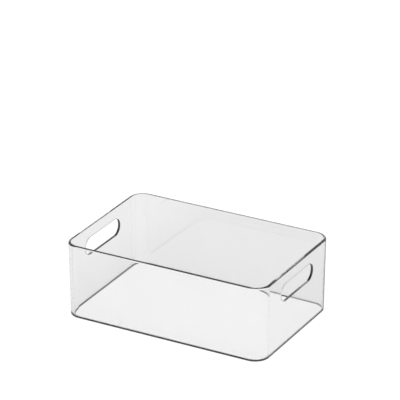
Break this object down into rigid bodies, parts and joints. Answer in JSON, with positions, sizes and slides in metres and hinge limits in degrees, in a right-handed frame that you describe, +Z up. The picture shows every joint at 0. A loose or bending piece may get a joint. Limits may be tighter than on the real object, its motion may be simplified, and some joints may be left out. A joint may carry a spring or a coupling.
{
  "type": "storage bin",
  "caption": "Clear open-top plastic bin for a fridge shelf, with slightly leaning walls, rounded corners and a hand slot through each short end.",
  "frame": {"origin": "middle of the flat underside, on the surface that the bin stands on", "axes": "+Z up out of the open top, +X along the length towards one hand slot, +Y along the depth"},
  "size_m": [0.32, 0.211, 0.113],
  "materials": {
    "clear_plastic": "clear, polished"
  },
  "bodies": {
    "root": {"bin_body": "clear_plastic"}
  },
  "joints": []
}
